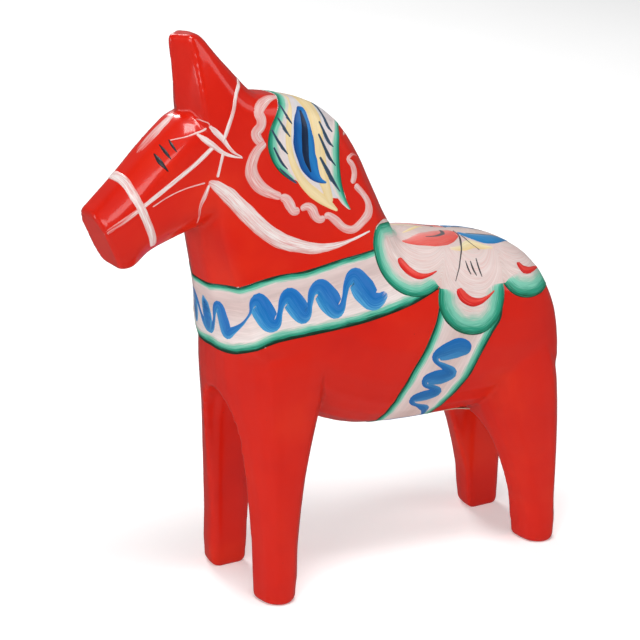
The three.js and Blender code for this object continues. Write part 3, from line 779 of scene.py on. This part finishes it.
def paint_mane():
    curls = brush_paint("curl_paint", [(0.0, ROSE), (0.35, (238, 200, 196)), (0.75, CHALK),
                                       (1.0, ROSE)], bristle=0.6, hide=-0.2, thin=1.1)
    film = Film("mane_curls", 1, 21)
    both_sides(film, on_side, CURLS)
    film.done(curls)

    chalk = brush_paint("mane_ground_paint", [(0.0, CHALK), (0.5, COOL_CHALK), (1.0, CHALK)],
                        under=ROSE)
    ground = Film("mane_ground", 1, 22)
    front = [crest.flat(side(x, z)) for x, z in MANE_FRONT]
    rear = [crest.flat(side(x, z)) for x, z in MANE_REAR]
    front = front + [(MANE_FRONT_TOP, 0)] + mirror(front)[::-1]
    rear = rear + [(MANE_REAR_TOP, 0)] + mirror(rear)[::-1]
    ground.patch(crest, [front, rear], 150, 40)
    ground.done(chalk)

    cream = brush_paint("cream_paint", [(0.0, CREAM), (0.5, (244, 222, 174)), (1.0, CREAM)],
                        under=CHALK)
    bands = Film("mane_cream_bands", 2, 23)
    bands.stroke(across_crest(CREAM_BANDS[0][::-1], [(-16.4, 0, 1.4)], bands.rng))
    bands.stroke(across_crest(CREAM_BANDS[1][::-1], [(-9.2, 0, 7.6)], bands.rng))
    bands.done(cream)

    rims = Film("mane_rims", 3, 24)
    edge = brush_paint("mane_rim_paint", [(0.0, BOTTLE), (0.12, GREEN), (0.26, SEA),
                                          (0.5, MINT), (0.9, CHALK)], under=CHALK)
    rims.stroke(across_crest(FRONT_RIM, [(MANE_FRONT_TOP, 0, 4.4)], rims.rng), lean=-1, flip=True)
    rims.stroke(across_crest(REAR_RIM, [(MANE_REAR_TOP, 0, 2.6)], rims.rng), lean=1)
    rims.done(edge)

    blue = brush_paint("leaf_blue", [(0.0, DEEP_BLUE), (0.4, BLUE), (0.75, (32, 128, 200)),
                                     (1.0, BLUE)], under=CREAM, hide=0.1)
    leaves = Film("mane_blue_leaves", 3, 25)
    both_sides(leaves, on_side, [BLUE_LEAF], tone=(0.3, 0.5))
    leaves.done(blue)

    navy = brush_paint("leaf_core_ink", [(0.0, NAVY), (1.0, (26, 50, 84))], under=BLUE, hide=0.1)
    cores = Film("mane_leaf_cores", 4, 26)
    both_sides(cores, on_side, [LEAF_CORE])
    cores.done(navy)

    slate = brush_paint("tick_slate", [(0.0, SLATE), (0.5, (44, 66, 92)), (1.0, SLATE)],
                        under=CHALK)
    ticks = Film("mane_ticks", 4, 27)
    both_sides(ticks, on_side, MANE_TICKS)
    ticks.done(slate)


def band_line(sides, front):
    points = [side(x, z) for x, z in sides] + [chest(y, z) for y, z in front]
    return [girdle.flat(point) for point in points]


def as_path(wrap, rows, width):
    """Flat places as the path of a stroke of one width."""
    return [(*wrap.place(along, angle), width, 1.0) for along, angle in rows]


def paint_breast_band():
    chalk = brush_paint("band_ground_paint", [(0.0, CHALK), (0.3, (220, 196, 192)),
                                              (0.6, CHALK), (1.0, PALE_CHALK)], under=ROSE)
    upper = band_line(BAND_TOP_SIDE, BAND_TOP_CHEST)
    lower = band_line(BAND_LOW_SIDE, BAND_LOW_CHEST)
    upper = upper + mirror(upper[-2::-1])
    lower = lower + mirror(lower[-2::-1])
    ground = Film("breast_band_ground", 1, 31)
    ground.patch(girdle, [upper, lower], 420, 44)
    ground.done(chalk)

    edge = brush_paint("band_rim_paint", [(0.0, BOTTLE), (0.22, (12, 60, 42)), (0.38, SEA),
                                          (0.62, MINT), (0.92, CHALK)], under=CHALK,
                       bristle=0.55)
    rims = Film("breast_band_rims", 2, 32)
    rims.stroke(as_path(girdle, upper, 3.4), lean=1)
    rims.stroke(as_path(girdle, lower, 4.8), lean=-1, flip=True)
    rims.done(edge)

    blue = brush_paint("zigzag_blue", [(0.0, (24, 118, 190)), (0.3, BLUE), (0.65, (24, 120, 190)),
                                       (1.0, (70, 158, 208))], under=CHALK, bristle=0.7, light=0.8)
    zigzag = Film("breast_band_zigzag", 3, 33)
    rng = zigzag.rng
    left = on_side(ZIGZAG_SIDE, LEFT, rng)
    right = on_side(ZIGZAG_SIDE, RIGHT, rng)[::-1]
    front = [(*chest(y, z), width, 1.0) for y, z, width in ZIGZAG_CHEST]
    back = [(*chest(-y, z), width, 1.0) for y, z, width in ZIGZAG_CHEST[:-1]][::-1]
    zigzag.stroke(left + front + back + right, tone=(0.7, 0.6))
    zigzag.done(blue)


def paint_girth():
    chalk = brush_paint("girth_ground_paint", [(0.0, CHALK), (0.5, (218, 192, 186)),
                                               (1.0, CHALK)], under=ROSE)
    fore = GIRTH_FORE + beyond_belly(GIRTH_FORE)
    aft = GIRTH_AFT + beyond_belly(GIRTH_AFT)
    ground = Film("girth_ground", 1, 41)
    ground.patch(trunk, [fore, aft], 230, 40)
    ground.done(chalk)
    edge = brush_paint("girth_rim_paint", [(0.0, BOTTLE), (0.16, (16, 74, 54)), (0.34, SEA),
                                           (0.6, MINT), (0.92, CHALK)], under=CHALK,
                       bristle=0.55)
    rims = Film("girth_rims", 2, 42)
    rims.stroke(as_path(trunk, fore, 4.2), lean=INWARD)
    rims.stroke(as_path(trunk, aft, 4.8), lean=-INWARD, flip=True)
    rims.done(edge)
    blue = brush_paint("girth_blue", [(0.0, BLUE), (0.4, (24, 110, 178)), (1.0, (60, 140, 196))],
                       under=CHALK, bristle=0.7, light=0.8)
    zigzag = Film("girth_zigzag", 3, 43)
    left = on_side(GIRTH_ZIGZAG, LEFT, zigzag.rng)
    right = on_side(GIRTH_ZIGZAG, RIGHT, zigzag.rng)[::-1]
    below = GIRTH_UNDER + beyond_belly(GIRTH_UNDER)
    under = [(*trunk.place(x, angle), width, 1.0) for x, angle, width in below]
    zigzag.stroke(left + under + right, tone=(0.5, 0.4))
    zigzag.done(blue)


def paint_saddle():
    chalk = brush_paint("saddle_ground_paint", [(0.0, SHADED_CHALK), (0.25, CHALK),
                                                (0.5, SHADED_CHALK), (0.75, CHALK),
                                                (1.0, SHADED_CHALK)],
                        under=ROSE, bristle=0.5, hide=-0.1, thin=1.0)
    scallops = sum((lobe[:-1] for lobe in LOBES), []) + [LOBES[-1][-1]]
    outline = SADDLE_FRONT + scallops[FRONT_LOBE_POINTS:]
    first, last = outline[0][0], outline[-1][0]
    crest_line = [(first + (last - first) * i / CREST_STEPS, 0) for i in range(CREST_STEPS + 1)]
    ground = Film("saddle_ground", 4, 51)
    ground.patch(trunk, [outline, crest_line, mirror(outline)], 260, 44)
    ground.done(chalk)

    edge = brush_paint("saddle_rim_paint", [(0.0, BOTTLE), (0.06, GREEN), (0.24, SEA),
                                            (0.5, MINT), (0.95, SHADED_CHALK)], under=CHALK,
                       bristle=0.45)
    rims = Film("saddle_rims", 5, 52)
    for hand in (LEFT, RIGHT):
        for lobe, width in zip(LOBES, LOBE_RIMS):
            places = lobe if hand == LEFT else mirror(lobe)
            rims.stroke(as_path(trunk, places, width), lean=-hand * INWARD, flip=hand == RIGHT)
    rims.done(edge)

    red = brush_paint("crescent_red", [(0.0, (196, 24, 20)), (0.35, (222, 36, 30)),
                                       (0.6, (236, 70, 60)), (1.0, (214, 30, 24))],
                      under=ROSE, hide=0.1)
    crescents = Film("saddle_crescents", 6, 53)
    both_sides(crescents, on_trunk, CRESCENTS)
    crescents.done(red)

    coral = brush_paint("petal_red", [(0.0, (230, 84, 76)), (0.35, CORAL), (0.7, (240, 130, 124)),
                                      (1.0, (240, 170, 164))], under=ROSE, bristle=0.6, thin=1.0)
    petals = Film("saddle_red_petals", 6, 54)
    both_sides(petals, on_trunk, [RED_PETAL])
    petals.done(coral)

    blue = brush_paint("petal_blue", [(0.0, (40, 130, 190)), (0.5, (56, 140, 200)),
                                      (1.0, (120, 166, 206))], under=CHALK)
    leaves = Film("saddle_blue_petals", 6, 55)
    both_sides(leaves, on_trunk, [BLUE_PETAL])
    leaves.done(blue)

    cream = brush_paint("saddle_cream", [(0.0, CREAM), (1.0, (244, 230, 190))], under=CHALK)
    hearts = Film("saddle_cream_strokes", 5, 56)
    both_sides(hearts, on_trunk, [CREAM_HEART, CREAM_LEAF])
    hearts.done(cream)

    ink = brush_paint("saddle_ink", [(0.0, (52, 48, 52)), (1.0, (84, 76, 78))], under=CHALK)
    lines = Film("saddle_lines", 7, 57)
    both_sides(lines, on_trunk, SADDLE_TICKS + SADDLE_VEINS)
    lines.done(ink)
    shadow = brush_paint("petal_shadow", [(0.0, (96, 100, 104)), (1.0, (120, 104, 106))],
                         under=CORAL)
    shadows = Film("saddle_petal_shadows", 7, 58)
    both_sides(shadows, on_trunk, [PETAL_SHADOW, BLUE_VEIN])
    shadows.done(shadow)


# ---------------------------------------------------------------- studio

def area_light(name, place, aim, size, power):
    data = bpy.data.lights.new(name, "AREA")
    data.shape = "RECTANGLE"
    data.size, data.size_y = size
    data.energy = power
    lamp = bpy.data.objects.new(name, data)
    lamp.location = place
    lamp.visible_camera = False
    lamp.rotation_euler = (Vector(aim) - Vector(place)).to_track_quat("-Z", "Y").to_euler()
    bpy.context.collection.objects.link(lamp)


def studio():
    """A pale sweep, a camera and soft light."""
    camera_data = bpy.data.cameras.new("camera")
    camera_data.lens = LENS
    camera_data.sensor_width = SENSOR
    camera = bpy.data.objects.new("camera", camera_data)
    bpy.context.collection.objects.link(camera)
    azimuth, elevation = math.radians(CAMERA_AZIMUTH), math.radians(CAMERA_ELEVATION)
    back = Vector((math.sin(azimuth) * math.cos(elevation),
                   -math.cos(azimuth) * math.cos(elevation), math.sin(elevation)))
    camera.location = Vector(CAMERA_TARGET) * MM + back * (CAMERA_DISTANCE * MM)
    camera.rotation_euler = back.to_track_quat("Z", "Y").to_euler()
    bpy.context.scene.camera = camera

    mesh = bpy.data.meshes.new("floor")
    corners = ((-1, -1), (1, -1), (1, 1), (-1, 1))
    mesh.from_pydata([(x * FLOOR_REACH, y * FLOOR_REACH, 0) for x, y in corners], [], [(0, 1, 2, 3)])
    floor = bpy.data.objects.new("floor", mesh)
    bpy.context.collection.objects.link(floor)
    nodes = Nodes("pale_floor")
    place = nodes.make("ShaderNodeTexCoord").outputs["Object"]
    tint = nodes.ramp(nodes.noise(place, 3), [(0.3, (244, 244, 244)), (0.7, (248, 248, 248))])
    nodes.join(tint, nodes.shader.inputs["Emission Color"])
    mesh.materials.append(nodes.finish(Base_Color=tint, Roughness=0.9, Emission_Strength=FLOOR_GLOW))
    floor.visible_glossy = False

    world = bpy.data.worlds.new("studio")
    world.use_nodes = True
    backdrop = world.node_tree.nodes["Background"]
    backdrop.inputs["Color"].default_value = (1.0, 1.0, 1.0, 1)
    backdrop.inputs["Strength"].default_value = WORLD_STRENGTH
    bpy.context.scene.world = world
    bpy.context.scene.view_settings.view_transform = "Standard"

    for light in LIGHTS:
        area_light(*light)


studio()
body.data.materials.append(lacquer())
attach(body, "root")
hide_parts("carved_body")
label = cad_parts["belly_label"]
label.data.materials.clear()
label.data.materials.append(label_paper())
paint_halter()
paint_mane()
paint_breast_band()
paint_girth()
paint_saddle()
